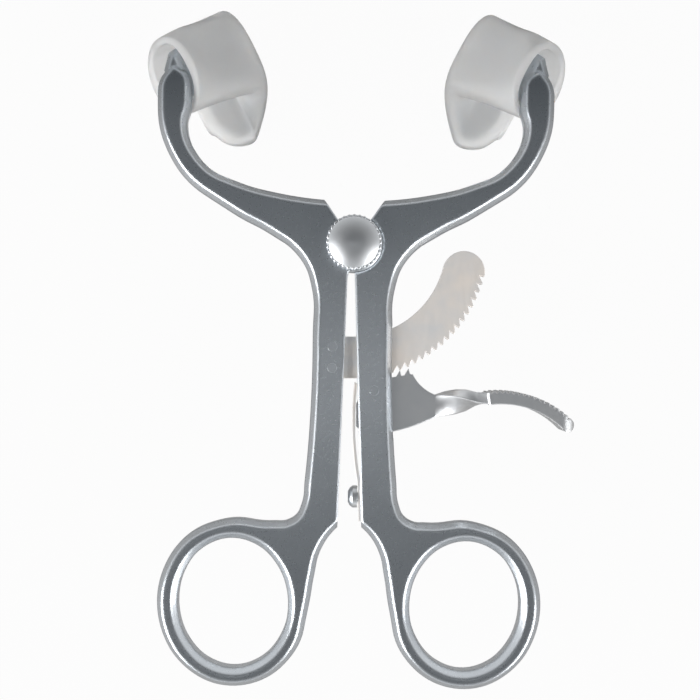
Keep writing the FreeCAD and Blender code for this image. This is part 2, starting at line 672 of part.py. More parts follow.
def make_release_lever():
    body = new_body("release_lever")
    pin = pin_centre()
    boss = size("lever_boss_radius")
    tail_u, tail_end = size("lever_tail_u"), tail_y()
    pawl = pawl_points()
    upper = [(pin[0] + u, pin[1] + y) for u, y in LEVER_UPPER]
    lower = [(pin[0] + u, pin[1] + y) for u, y in LEVER_LOWER]
    tail = [(tail_u + 2.0, tail_end), (tail_u, tail_end + 1.2), (tail_u, pin[1] - 3.0)]
    boss_top, boss_mid, boss_left = [
        (pin[0] + u, pin[1] + y) for u, y in (polar(boss, 80), polar(boss, 130), polar(boss, 180))]
    geometry = [
        Part.Arc(vec(*boss_left), vec(*boss_mid), vec(*boss_top)),
        *lines([boss_top] + pawl, closed=False),
        spline(pawl[-1:] + upper),
        *lines([upper[-1], lower[0]], closed=False),
        spline(lower),
        *lines([lower[-1], *tail, boss_left], closed=False),
    ]
    outline = add_sketch(body, "pawl_outline", geometry, offset=at_height(MID))
    pad(body, outline, "Sizes.lever_thickness", midplane=True)

    centre = (pin[0] + size("pad_arc_centre_out"), pin[1] - size("pad_arc_centre_drop"))
    outer = size("pad_arc_radius")
    inner = outer - size("pad_thickness")
    start, end = size("pad_start_angle"), size("pad_end_angle")
    mean = (start + end) / 2
    tip_mean = (outer + inner) / 2
    half_tip = size("pad_thickness") / 2

    def at(radius, degrees):
        x, y = polar(radius, degrees)
        return (centre[0] + x, centre[1] + y)

    crown = at(tip_mean, end - math.degrees(half_tip * 0.7 / tip_mean))
    band = [
        Part.Arc(vec(*at(outer, start)), vec(*at(outer, mean)), vec(*at(outer, end))),
        Part.Arc(vec(*at(outer, end)), vec(*crown), vec(*at(inner, end))),
        Part.Arc(vec(*at(inner, end)), vec(*at(inner, mean)), vec(*at(inner, start))),
        Part.LineSegment(vec(*at(inner, start)), vec(*at(outer, start))),
    ]
    pad_sketch = add_sketch(body, "pad_band", band, offset=at_height(MID))
    sections = []
    neck = size("neck_width")
    first = (upper[-1][0], (upper[-1][1] + lower[0][1]) / 2)
    last = at(tip_mean, start)
    slope = math.radians(start - 90.0)
    steps = 5
    for index in range(steps + 1):
        share = index / steps
        x = first[0] + (last[0] - first[0]) * share
        y = first[1] + (last[1] - first[1]) * (share ** 0.8)
        twist = 90.0 * min(1.0, share * 1.15)
        width = neck + (size("pad_width") - 1.2 - neck) * share ** 2
        thick = size("lever_thickness") + (size("pad_thickness") - 0.3 - size("lever_thickness")) * share
        along = FreeCAD.Vector(math.cos(slope * share), math.sin(slope * share), 0.0)
        up = FreeCAD.Vector(-along.y, along.x, 0.0)
        flat = FreeCAD.Vector(0, 0, 1)
        turn = math.radians(twist)
        across = up * math.cos(turn) + flat * math.sin(turn)
        normal = along.cross(across)
        place = FreeCAD.Placement(FreeCAD.Vector(x, y, MID), FreeCAD.Rotation(across, normal, along, "ZXY"))
        w, t = width / 2, thick / 2
        box = lines([(w, t), (-w, t), (-w, -t), (w, -t)])
        sections.append(add_sketch(body, f"neck_{index}", box, offset=place))
    twisted = body.newObject("PartDesign::AdditiveLoft", "twisted_neck")
    twisted.Profile = sections[0]
    twisted.Sections = sections[1:]
    twisted.Ruled = True
    doc.recompute()
    pad(body, pad_sketch, "Sizes.pad_width", midplane=True)

    corner = size("pad_corner_radius")
    reach = at(tip_mean, end)[0] + half_tip
    edge_z = size("pad_width") / 2
    for name, sign in (("pad_corner_front", 1), ("pad_corner_back", -1)):
        rim = vec(reach - corner, sign * edge_z)
        bend = vec(reach - corner * (1 - math.sqrt(0.5)), sign * (edge_z - corner * (1 - math.sqrt(0.5))))
        stop = vec(reach, sign * (edge_z - corner))
        beyond = [(reach, sign * (edge_z - corner)), (reach + 2.0, sign * (edge_z - corner)),
                  (reach + 2.0, sign * (edge_z + 1.0)), (reach - corner, sign * (edge_z + 1.0)),
                  (reach - corner, sign * edge_z)]
        geometry = [Part.Arc(rim, bend, stop), *lines(beyond, closed=False)]
        place = FreeCAD.Placement(FreeCAD.Vector(0.0, MID, 0.0), FreeCAD.Rotation())
        cutter = add_sketch(body, name, geometry, role="XZ_Plane", offset=place)
        pocket(body, cutter, length=120.0, midplane=True)

    depth = size("serration_depth")
    pitch = size("serration_pitch")
    half_gap = pitch * 0.42
    tooth = lines([polar(outer - depth, 0.0), polar(outer + 0.2, half_gap), polar(outer + 0.2, -half_gap)])
    first_angle = start - 1.8
    place = FreeCAD.Placement(FreeCAD.Vector(centre[0], centre[1], MID),
                              FreeCAD.Rotation(FreeCAD.Vector(0, 0, 1), first_angle))
    notch = add_sketch(body, "serration", tooth, offset=place)
    cut = pocket(body, notch, length=size("pad_width") + 1.0, midplane=True)
    pattern = body.newObject("PartDesign::PolarPattern", "serrations")
    pattern.Originals = [cut]
    pattern.Axis = (notch, ["N_Axis"])
    pattern.Reversed = True
    pattern.Mode = "Spacing"
    pattern.setExpression("Offset", "Sizes.serration_pitch")
    pattern.setExpression("Occurrences", "Sizes.serration_count")
    body.Tip = pattern
    doc.recompute()
    radius = size("lever_pin_diameter") / 2 + size("lever_pin_clearance")
    hole = add_sketch(body, "lever_bore", [circle(radius, pin)], offset=at_height(MID))
    pocket(body, hole, length=size("lever_thickness") + 0.2, midplane=True)
    return body


def make_leaf_spring():
    body = new_body("leaf_spring")
    thick = size("spring_thickness")
    foot = size("spring_foot_y")
    clamp = size("spring_screw_y") + 3.2
    face = inner_face_u
    tail_u, pin_y = size("lever_tail_u"), pin_centre()[1]
    right_side = [(face(clamp), clamp), (tail_u - 0.1, tail_y() - 0.3), (tail_u - 0.12, pin_y - 3.2),
                  (tail_u + 0.2, pin_y + 1.2)]
    left_side = [(u - thick, y + 0.12 * index) for index, (u, y) in enumerate(right_side)]
    geometry = [
        *lines([(face(foot), foot), (face(clamp), clamp)], closed=False),
        spline(right_side),
        *lines([right_side[-1], left_side[-1]], closed=False),
        spline(left_side[::-1]),
        *lines([left_side[0], (face(foot) - thick, foot), (face(foot), foot)], closed=False),
    ]
    outline = add_sketch(body, "spring_outline", geometry, offset=at_height(MID))
    pad(body, outline, "Sizes.spring_width", midplane=True)
    radius = size("spring_screw_shank_diameter") / 2 + size("fit_clearance")
    place = FreeCAD.Placement(FreeCAD.Vector(size("spring_screw_y"), MID, 0.0), FreeCAD.Rotation())
    hole = add_sketch(body, "spring_hole", [circle(radius)], role="YZ_Plane", offset=place)
    pocket(body, hole, length=6.0, midplane=True)
    return body


def make_spring_screw():
    body = new_body("spring_screw")
    head = size("spring_screw_head_diameter") / 2
    shank = size("spring_screw_shank_diameter") / 2
    seat = spring_face_u() - size("spring_screw_gap")
    top = seat - size("spring_screw_head_height")
    end = seat + size("spring_screw_length")
    centre_y = size("spring_screw_y")
    place = FreeCAD.Placement(FreeCAD.Vector(0.0, centre_y, MID), FreeCAD.Rotation())
    crown = (seat - top) / 2
    geometry = lines([(top, 0.0), (end, 0.0), (end, shank), (seat, shank), (seat, head), (seat - crown, head),
                      (seat - 1.6 * crown, head * 0.8), (top, head * 0.5)])
    profile = add_sketch(body, "spring_screw_profile", geometry, offset=place)
    turned = body.newObject("PartDesign::Revolution", "spring_screw_turned")
    turned.Profile = profile
    turned.ReferenceAxis = (profile, ["H_Axis"])
    turned.Angle = 360.0
    doc.recompute()
    half = size("spring_slot_width") / 2
    depth = size("spring_slot_depth")
    box = [(top - 0.2, centre_y - head - 0.2), (top + depth, centre_y - head - 0.2),
           (top + depth, centre_y + head + 0.2), (top - 0.2, centre_y + head + 0.2)]
    slot = add_sketch(body, "screw_slot", lines(box), offset=at_height(MID))
    pocket(body, slot, length=2 * half, midplane=True)
    return body


def make_rivets():
    top = cylinder("rivet_upper", "Sizes.rivet_diameter / 2", "Sizes.arm_thickness",
                   FreeCAD.Vector(-size("rivet_u"), rivet_heights()[0], 0.0))
    low = cylinder("rivet_lower", "Sizes.rivet_diameter / 2", "Sizes.arm_thickness",
                   FreeCAD.Vector(-size("rivet_u"), rivet_heights()[1], 0.0))
    group = doc.addObject("Part::Compound", "ratchet_rivets")
    group.Label = "ratchet_rivets"
    group.Links = [top, low]
    doc.recompute()
    return group


def skin_outline(half_width, half_thickness, power, count):
    """Points of a closed outline between an ellipse (power 1) and a box (power 0)."""
    points = []
    for index in range(count):
        angle = 2.0 * math.pi * (index + 0.5) / count
        c, s = math.cos(angle), math.sin(angle)
        points.append((math.copysign(abs(c) ** power, c) * half_width,
                       math.copysign(abs(s) ** power, s) * half_thickness))
    return points


def mouth_sections(blade, rim, wall):
    """The mouth and the flare behind it, easing into the blade's own section."""
    slope = math.radians(size("leg_dive"))
    width, depth = size("cover_mouth_half_width") - rim, size("cover_mouth_half_depth") - wall
    mouth = (size("cover_mouth_y"), width, depth)
    sections = []
    for share in (0.0, 0.5):
        ease = (1.0 - share) ** 1.5
        along = size("cover_mouth_start") + size("cover_flare_length") * share
        drop = size("cover_mouth_drop") * ease
        u = -size("knee_u") + along * math.cos(slope) - drop * math.sin(slope)
        z = MID - along * math.sin(slope) - drop * math.cos(slope)
        eased = [b + (a - b) * ease for a, b in zip(mouth, (blade[1], blade[4], blade[5]))]
        sections.append([u, eased[0], z, size("leg_dive"), *eased[1:]])
    return sections


def ring_of_points(side, section, outline, *settings):
    """The section's outline, set on the blade's path."""
    u, y, z, turn, half_width, half_depth = section
    place = section_placement(side, u, y, z, turn)
    return [place.multVec(vec(*point)) for point in outline(half_width, half_depth, *settings)]


def faceted_solid(label, rings):
    """Closed solid of flat facets between rings that have the same number of points."""
    triangles = []
    for ring, after in zip(rings, rings[1:]):
        for index in range(len(ring)):
            a, b = ring[index - 1], ring[index]
            d, c = after[index - 1], after[index]
            if (a - c).Length < (b - d).Length:
                triangles += [(a, b, c), (a, c, d)]
            else:
                triangles += [(a, b, d), (b, c, d)]
    faces = [Part.Face(Part.makePolygon([*corners, corners[0]])) for corners in triangles]
    faces += [Part.Face(Part.makePolygon([*ring, ring[0]])) for ring in (rings[0], rings[-1])]
    solid = Part.Solid(Part.Shell(faces))
    if solid.Volume < 0:
        solid.reverse()
    feature = doc.addObject("Part::Feature", label)
    feature.Shape = solid
    return feature


def make_cover(label, side):
    """Moulded sleeve: a flared mouth on the knee, a flat leg, a crowned bend and a closed lip."""
    gap, wall = size("cover_clearance"), size("cover_wall")
    dive = size("leg_dive")
    outer = blade_sections(gap + wall, gap + wall)[3:]
    for section in outer:
        section[5] += size("cover_bend_crown") * math.sin(math.pi * (section[3] - dive) / (180.0 - dive))
    outer = mouth_sections(outer[0], 0.0, 0.0) + outer
    powers = [1.0] + [size("cover_squareness")] * (len(outer) - 1)
    rings = [ring_of_points(side, section, skin_outline, power, 20) for section, power in zip(outer, powers)]
    skin = faceted_solid(label + "_skin", rings)

    inner = blade_sections(gap, gap)[3:]
    inner = mouth_sections(inner[0], size("cover_mouth_rim"), wall) + inner
    slope = math.radians(dive)
    before = [inner[0][0] - math.cos(slope), inner[0][1], inner[0][2] + math.sin(slope), *inner[0][3:]]
    inner.insert(0, before)
    edges = MOUTH_EDGES + [BLADE_EDGE] * (len(inner) - len(MOUTH_EDGES))
    rings = [ring_of_points(side, section, bar_outline, *edge) for section, edge in zip(inner, edges)]
    cavity = faceted_solid(label + "_cavity", rings)
    sleeve = doc.addObject("Part::Cut", label)
    sleeve.Label = label
    sleeve.Base = skin
    sleeve.Tool = cavity
    doc.recompute()
    return sleeve


finish_left(left)
finish_right(right)
pin = cylinder("lever_pin", "Sizes.lever_pin_diameter / 2", "Sizes.arm_thickness",
               FreeCAD.Vector(*pin_centre(), 0.0))
parts = [left, right, make_pivot_screw(), make_ratchet_bar(), make_rivets(), make_release_lever(), pin]
parts += [make_leaf_spring(), make_spring_screw()]
parts += [make_cover("left_tip_cover", -1), make_cover("right_tip_cover", 1)]
doc.recompute()

failed = [obj.Name for obj in doc.Objects if "Invalid" in obj.State or "Error" in obj.State]
failed += [item.Label for item in parts if item.Shape.isNull() or not item.Shape.isValid()]
if failed:
    raise ValueError(f"objects that did not build: {failed}")
os.makedirs("parts", exist_ok=True)
for item in parts:
    item.Shape.exportStep(f"parts/{item.Label}.step")
    print(item.Label, len(item.Shape.Solids), "solid", round(item.Shape.Volume, 1), "mm3")
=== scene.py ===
import math

import bpy
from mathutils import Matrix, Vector


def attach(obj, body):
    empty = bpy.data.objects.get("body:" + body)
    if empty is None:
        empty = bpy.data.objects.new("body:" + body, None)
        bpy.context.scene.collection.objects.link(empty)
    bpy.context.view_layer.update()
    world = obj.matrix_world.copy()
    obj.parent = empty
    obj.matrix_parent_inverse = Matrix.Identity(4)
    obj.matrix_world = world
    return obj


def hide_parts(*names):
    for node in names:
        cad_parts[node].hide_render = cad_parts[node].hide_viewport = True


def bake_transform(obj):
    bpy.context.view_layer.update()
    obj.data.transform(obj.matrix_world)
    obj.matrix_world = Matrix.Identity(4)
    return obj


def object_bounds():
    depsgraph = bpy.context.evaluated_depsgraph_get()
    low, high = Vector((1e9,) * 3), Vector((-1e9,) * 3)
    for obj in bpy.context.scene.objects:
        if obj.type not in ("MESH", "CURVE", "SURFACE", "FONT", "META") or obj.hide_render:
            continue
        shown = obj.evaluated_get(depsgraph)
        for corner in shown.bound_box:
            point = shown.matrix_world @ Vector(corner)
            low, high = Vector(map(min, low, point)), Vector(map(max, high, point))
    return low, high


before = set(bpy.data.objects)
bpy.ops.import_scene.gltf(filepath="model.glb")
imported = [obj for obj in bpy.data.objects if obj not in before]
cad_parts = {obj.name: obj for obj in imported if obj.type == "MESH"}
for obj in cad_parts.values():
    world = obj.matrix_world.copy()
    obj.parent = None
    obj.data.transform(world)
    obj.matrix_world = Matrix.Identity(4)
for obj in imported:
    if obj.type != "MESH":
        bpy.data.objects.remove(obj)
cad_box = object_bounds()

MM = 0.001

# Camera of the photograph: square on, over the instrument, with a slight roll.
PLATE_FRONT = 5.5 * MM
VIEW_DISTANCE = 250.0 * MM
VIEW_WIDTH = 144.8 * MM
VIEW_CENTRE = (-0.5 * MM, -22.1 * MM)
VIEW_ROLL = 0.85
SENSOR_WIDTH = 36.0

# The white sheet that the instrument lies over.
FLOOR_DROP = 1.5 * MM
FLOOR_SIZE = 3.0
FLOOR_COLOUR = (0.42, 0.41, 0.40, 1.0)
FLOOR_ROUGHNESS = 0.9
FLOOR_WHITE = 0.96

# Studio surroundings, from straight below to straight above: (place, red, green, blue).
SURROUNDINGS = [
    (0.0, 0.9, 0.9, 0.9),
    (0.35, 0.7, 0.707, 0.714),
    (0.68, 0.33, 0.3333, 0.3366),
    (0.86, 0.14, 0.1414, 0.1428),
    (1.0, 0.062, 0.07, 0.078),
]

# Hooked blades and covers, in millimetres, in the frame where each jaw is closed on the middle plane.
JAW_HALF_ANGLE = 27.4
PLATE_MIDDLE = 2.75
KNEE = 16.6
LEG_DIVE = 45.0
LEG_SHARE = 0.6
BEND_OUT = 8.4
BEND_HEIGHT = -12.5
BEND_RADIUS = 5.0
BEND_STEPS = 5
LIP_TIP = 14.2
LIP_SHARES = (0.4, 0.7, 0.88, 1.0)
BLADE_ROOT = 2.3
BLADE_THIN = 1.1
BLADE_THINNING = (0.75, 1.0)
BLADE_MIDDLE = [49.2, 50.1, 50.3, 50.2, 49.3, 48.0, 46.6, 46.2, 46.2, 46.2, 46.2]
BLADE_HALF_WIDTH = [6.2, 7.2, 7.6, 8.2, 9.3, 10.7, 11.8, 11.6, 10.6, 8.9, 6.2]
COVER_WALL = 2.1
COVER_GAP = 0.15
MOUTH_START = 0.25
MOUTH_MIDDLE = 48.75
MOUTH_HALF_WIDTH = 8.5
MOUTH_HALF_DEPTH = 7.5
MOUTH_RIM = 1.7
MOUTH_WALL = 2.6
MOUTH_DROP = 2.2
FLARE_LENGTH = 10.0
FLARE_SHARES = (0.0, 0.25, 0.5)
FLARE_EASE = 1.5
FLARE_FULLNESS = 0.45
FLARE_SHIFT = 0.6
BEND_CROWN = 0.6

# Fineness and roundness of the covers: a power of 1 is an oval, and smaller ones are squarer.
COVER_COUNT = 72
COVER_STEPS = 5
OUTER_MOUTH_POWERS = [1.0, 0.85]
OUTER_POWER = 0.75
INNER_MOUTH_POWERS = [0.8, 0.7, 0.55]
INNER_POWER = 0.4
RIM_STEPS = 10
RIM_ROUND = 0.45
TIP_STEPS = 7
TIP_ROUND = 0.9
TIP_SHARE = 0.75

# Pivot screw, in millimetres.
SCREW_COUNT = 320
KNURLS = 32
KNURL_DEPTH = 0.4
KNURL_HALF_WIDTH = 0.34
CROWN_RADIUS = 5.12
CROWN_SPHERE = 10.6
CROWN_TOP = 9.93
CROWN_STEPS = 14

# Finish of the steel and the silicone; noise scales are per metre.
EVEN = (1.0, 1.0, 1.0)
LENGTHWISE = (1.0, 0.2, 1.0)
CLOUD_SCALE = 110.0
BRUSHING_SPREAD = 0.03
BRUSHING_STRENGTH = 0.25
EDGE_SAMPLES = 12
OVAL_FADE = (0.9, 1.1)
# Painted shade on the hooked blades: their steel is darkened below the plate's back face and past the
# horn's end, inside the covers.
BLADE_SHADE_HEIGHTS = (-1.5 * MM, 0.5 * MM)
BLADE_SHADE_REACHES = (24.0 * MM, 34.0 * MM)
BLADE_SHADE_TONE = (0.50, 0.54, 0.58)
SKIN_GRAIN_SCALE = 1600.0
SKIN_GRAIN_STRENGTH = 0.3
SKIN_GRAIN_DEPTH = 0.03 * MM
MILK = ((0.93, 0.925, 0.915), (0.96, 0.96, 0.955))
SILICONE = {
    "Roughness": 0.5,
    "IOR": 1.41,
    "Transmission Weight": 0.6,
    "Subsurface Weight": 0.8,
    "Subsurface Radius": (1.0, 0.95, 0.9),
    "Subsurface Scale": 1.0 * MM,
    "Specular IOR Level": 0.5,
}


def new_object(name, vertices, faces, smooth=True):
    mesh = bpy.data.meshes.new(name)
    mesh.from_pydata(vertices, [], faces)
    mesh.validate()
    mesh.update()
    for polygon in mesh.polygons:
        polygon.use_smooth = smooth
    piece = bpy.data.objects.new(name, mesh)
    bpy.context.scene.collection.objects.link(piece)
    return piece


def copy_of_node(name, node):
    """A loose copy of a node's mesh."""
    piece = bpy.data.objects.new(name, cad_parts[node].data.copy())
    bpy.context.scene.collection.objects.link(piece)
    return piece


def curve_value(values, place):
    """Value at a fractional place in a list, on a smooth curve through the values."""
    index = min(int(place), len(values) - 2)
    t = place - index
    before = values[max(0, index - 1)]
    first, last = values[index], values[index + 1]
    after = values[min(len(values) - 1, index + 2)]
    start, end = (last - before) / 2, (after - first) / 2
    bend = 2 * first - 2 * last + start + end
    return first + t * start + t * t * (3 * (last - first) - 2 * start - end) + t ** 3 * bend


def between(first, last, share):
    return first + (last - first) * share


def joined_rings(rings):
    """Vertices of the rings in one list, and the faces of the skin from each ring to the next."""
    count = len(rings[0])
    faces = []
    for row in range(len(rings) - 1):
        for index in range(count):
            after = (index + 1) % count
            faces.append((row * count + index, row * count + after,
                          (row + 1) * count + after, (row + 1) * count + index))
    return [point for ring in rings for point in ring], faces


def turned_over(faces):
    return [tuple(reversed(face)) for face in faces]


class Nodes:
    """Short-hand for building a material's node tree."""

    def __init__(self, name):
        self.material = bpy.data.materials.new(name)
        self.material.use_nodes = True
        self.tree = self.material.node_tree
        self.shader = self.tree.nodes["Principled BSDF"]
        self.place = self.add("ShaderNodeTexCoord").outputs["Object"]

    def add(self, kind, **settings):
        node = self.tree.nodes.new(kind)
        for key, value in settings.items():
            setattr(node, key, value)
        return node

    def link(self, source, target):
        self.tree.links.new(source, target)

    def stretched(self, scale):
        mapping = self.add("ShaderNodeMapping")
        mapping.inputs["Scale"].default_value = scale
        self.link(self.place, mapping.inputs["Vector"])
        return mapping.outputs["Vector"]

    def noise(self, vector, scale, detail):
        node = self.add("ShaderNodeTexNoise")
        node.inputs["Scale"].default_value = scale
        node.inputs["Detail"].default_value = detail
        node.inputs["Roughness"].default_value = 0.55
        self.link(vector, node.inputs["Vector"])
        return node.outputs["Fac"]

    def ranged(self, source, low, high, from_low=0.3, from_high=0.7):
        node = self.add("ShaderNodeMapRange")
        node.inputs["From Min"].default_value = from_low
        node.inputs["From Max"].default_value = from_high
        node.inputs["To Min"].default_value = low
        node.inputs["To Max"].default_value = high
        self.link(source, node.inputs["Value"])
        return node.outputs["Result"]

    def mix(self, kind, source):
        """A mix node with its two ends and its result, found by their identifiers."""
        node = self.add("ShaderNodeMix", data_type=kind)
        self.link(source, node.inputs["Factor"])
        ending = {"RGBA": "Color", "VECTOR": "Vector"}[kind]
        ends = {socket.identifier: socket for socket in node.inputs}
        result = next(socket for socket in node.outputs if socket.identifier == f"Result_{ending}")
        return ends[f"A_{ending}"], ends[f"B_{ending}"], result

    def blended(self, source, first, last):
        """A plain colour, going over to another."""
        start, end, result = self.mix("RGBA", source)
        start.default_value = (*first, 1.0)
        end.default_value = (*last, 1.0)
        return result

    def mixed(self, source, first, last):
        """A colour that is linked, going over to a plain one."""
        start, end, result = self.mix("RGBA", source)
        self.link(first, start)
        end.default_value = (*last, 1.0)
        return result

    def kept_sharp(self, rounded, centre, half_sizes):
        """The rounded normal, but the mesh's own normal inside an upright oval."""
        inside = self.add("ShaderNodeMapping")
        start = [-place / half for place, half in zip(centre, half_sizes)]
        inside.inputs["Scale"].default_value = (1.0 / half_sizes[0], 1.0 / half_sizes[1], 0.0)
        inside.inputs["Location"].default_value = (*start, 0.0)
        self.link(self.place, inside.inputs["Vector"])
        reach = self.add("ShaderNodeVectorMath", operation="LENGTH")
        self.link(inside.outputs["Vector"], reach.inputs[0])
        start, end, result = self.mix("VECTOR", self.ranged(reach.outputs["Value"], 0.0, 1.0, *OVAL_FADE))
        self.link(self.add("ShaderNodeNewGeometry").outputs["Normal"], start)
        self.link(rounded, end)
        return result

    def bump(self, height, strength, distance, normal=None):
        node = self.add("ShaderNodeBump")
        node.inputs["Strength"].default_value = strength
        node.inputs["Distance"].default_value = distance
        self.link(height, node.inputs["Height"])
        if normal is not None:
            self.link(normal, node.inputs["Normal"])
        return node.outputs["Normal"]


def shaded_blade(nodes, tone):
    """The tone, going over to a darker painted shade below the back face and past the horn's end, where the
    blade lies inside the cover.
    """
    split = nodes.add("ShaderNodeSeparateXYZ")
    nodes.link(nodes.place, split.inputs["Vector"])
    blade = nodes.add("ShaderNodeMath", operation="MAXIMUM")
    nodes.link(nodes.ranged(split.outputs["Z"], 1.0, 0.0, *BLADE_SHADE_HEIGHTS), blade.inputs[0])
    nodes.link(nodes.ranged(split.outputs["Y"], 0.0, 1.0, *BLADE_SHADE_REACHES), blade.inputs[1])
    return nodes.mixed(blade.outputs["Value"], tone, BLADE_SHADE_TONE)


def steel(name, tones, roughness, grain, grain_scale, grain_depth, edge, sharp=None, blade=False):
    """Brushed or satin stainless steel in two soft tones; grain stretches the brushing along one axis.

    The edges are softened by the given radius, except inside the sharp oval (centre, half sizes).
    With a blade, the hooked blade's steel is darkened with painted shade where it lies inside the cover.
    """
    nodes = Nodes(name)
    shader = nodes.shader
    shader.inputs["Metallic"].default_value = 1.0
    brushing = nodes.noise(nodes.stretched(grain), grain_scale, 3.0)
    cloud = nodes.noise(nodes.stretched(EVEN), CLOUD_SCALE, 3.0)
    tone = nodes.blended(nodes.ranged(cloud, 0.0, 1.0), *tones)
    if blade:
        # Painted shade: the blade's tone darkens where it lies inside the cover.
        tone = shaded_blade(nodes, tone)
    nodes.link(tone, shader.inputs["Base Color"])
    rough = nodes.ranged(brushing, roughness * (1.0 - BRUSHING_SPREAD), roughness * (1.0 + BRUSHING_SPREAD))
    nodes.link(rough, shader.inputs["Roughness"])
    rounded = nodes.add("ShaderNodeBevel", samples=EDGE_SAMPLES)
    rounded.inputs["Radius"].default_value = edge
    normal = rounded.outputs["Normal"]
    if sharp is not None:
        normal = nodes.kept_sharp(normal, *sharp)
    nodes.link(nodes.bump(brushing, BRUSHING_STRENGTH, grain_depth, normal), shader.inputs["Normal"])
    return nodes.material


def silicone(name):
    """Milky, slightly hazy moulded silicone with a fine matt skin."""
    nodes = Nodes(name)
    shader = nodes.shader
    cloud = nodes.noise(nodes.stretched(EVEN), CLOUD_SCALE, 4.0)
    nodes.link(nodes.blended(nodes.ranged(cloud, 0.0, 1.0), *MILK), shader.inputs["Base Color"])
    for socket, value in SILICONE.items():
        shader.inputs[socket].default_value = value
    grain = nodes.noise(nodes.stretched(EVEN), SKIN_GRAIN_SCALE, 3.0)
    nodes.link(nodes.bump(grain, SKIN_GRAIN_STRENGTH, SKIN_GRAIN_DEPTH), shader.inputs["Normal"])
    return nodes.material


def dress(piece, material):
    piece.data.materials.clear()
    piece.data.materials.append(material)


def dress_node(node, material):
    """A CAD node keeps its mesh and takes a new finish in its object's slots."""
    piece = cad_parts[node]
    for slot in piece.material_slots:
        slot.link = "OBJECT"
        slot.material = material


def blade_stations():
    """Stations of the blade under the cover: (out, height, dive), from the leg to the lip's tip."""
    slope = math.radians(LEG_DIVE)
    bend_out = BEND_OUT - BEND_RADIUS * math.sin(slope)
    bend_height = BEND_HEIGHT + BEND_RADIUS * math.cos(slope)
    leg_out = between(KNEE, bend_out, LEG_SHARE)
    leg_height = between(PLATE_MIDDLE, bend_height, LEG_SHARE)
    stations = [(leg_out, leg_height, LEG_DIVE)]
    for step in range(BEND_STEPS + 1):
        turn = between(LEG_DIVE, 180.0, step / BEND_STEPS)
        angle = math.radians(turn)
        out = BEND_OUT - BEND_RADIUS * math.sin(angle)
        stations.append((out, BEND_HEIGHT + BEND_RADIUS * math.cos(angle), turn))
    for share in LIP_SHARES:
        stations.append((between(BEND_OUT, LIP_TIP, share), BEND_HEIGHT - BEND_RADIUS, 180.0))
    return stations


def cover_stations(grow, rim, wall, crown, fullness):
    """Stations of one skin, mouth to lip: (out, height, dive, middle, half width, half depth)."""
    stations = []
    blade = blade_stations()
    lip_start = len(blade) - len(LIP_SHARES)
    for index, (out, height, dive) in enumerate(blade):
        thin = between(BLADE_ROOT, BLADE_THIN, BLADE_THINNING[min(1, index)])
        bulge = crown * math.sin(math.pi * (dive - LEG_DIVE) / (180.0 - LEG_DIVE))
        out += grow * max(0.0, index - lip_start) / (len(LIP_SHARES) - 1)
        fuller = fullness if index == 0 else 0.0
        middle = BLADE_MIDDLE[index] + fuller * FLARE_SHIFT
        half_width = BLADE_HALF_WIDTH[index] + grow + fuller
        stations.append((out, height, dive, middle, half_width, thin + grow + bulge))
    slope = math.radians(LEG_DIVE)
    leg = stations[0]
    mouth = (MOUTH_MIDDLE, MOUTH_HALF_WIDTH - rim, MOUTH_HALF_DEPTH - wall)
    flared = []
    for share in FLARE_SHARES:
        ease = (1.0 - share) ** FLARE_EASE
        along = MOUTH_START + FLARE_LENGTH * share
        drop = MOUTH_DROP * ease
        out = KNEE - along * math.cos(slope) + drop * math.sin(slope)
        height = PLATE_MIDDLE - along * math.sin(slope) - drop * math.cos(slope)
        flared.append((out, height, LEG_DIVE, *(between(b, a, ease) for a, b in zip(mouth, leg[3:]))))
    return flared + stations


def swung(side, out, along):
    """Closed-frame point (out from the middle plane, along y) on its open side."""
    angle = math.radians(JAW_HALF_ANGLE)
    x = out * math.cos(angle) + along * math.sin(angle)
    y = along * math.cos(angle) - out * math.sin(angle)
    return side * x, y


def cover_ring(side, station, power, ahead=0.0, shrink=1.0):
    """Ring of points round one station; ahead moves it on along the blade."""
    out, height, dive, middle, half_width, half_depth = station
    slope = math.radians(dive)
    out -= ahead * math.cos(slope)
    height -= ahead * math.sin(slope)
    ring = []
    for index in range(COVER_COUNT):
        angle = 2.0 * math.pi * (index + 0.5) / COVER_COUNT
        c, s = math.cos(angle), math.sin(angle)
        across = math.copysign(abs(c) ** power, c) * half_width * shrink
        above = math.copysign(abs(s) ** power, s) * half_depth * shrink
        x, y = swung(side, out - above * math.sin(slope), middle + across)
        ring.append((x * MM, y * MM, (height + above * math.cos(slope)) * MM))
    return ring


def skin_rings(side, stations, powers):
    rings = []
    for index in range((len(stations) - 1) * COVER_STEPS + 1):
        place = index / COVER_STEPS
        station = [curve_value([s[k] for s in stations], place) for k in range(6)]
        rings.append(cover_ring(side, station, curve_value(powers, place)))
    return rings


def rim_rings(side, inner, outer, inner_power, outer_power):
    """Round bead that turns the inner skin over into the outer one at the mouth."""
    rings = []
    for step in range(1, RIM_STEPS):
        angle = math.pi * step / RIM_STEPS
        share = (1.0 - math.cos(angle)) / 2
        station = [between(a, b, share) for a, b in zip(inner, outer)]
        power = between(inner_power, outer_power, share)
        rings.append(cover_ring(side, station, power, ahead=-math.sin(angle) * RIM_ROUND))
    return rings


def tip_rings(side, station):
    """Rounded end of the lip."""
    rings = []
    for step in range(1, TIP_STEPS):
        angle = 0.5 * math.pi * step / TIP_STEPS
        shrink = TIP_SHARE + (1.0 - TIP_SHARE) * math.cos(angle)
        rings.append(cover_ring(side, station, OUTER_POWER, math.sin(angle) * TIP_ROUND, shrink))
    return rings


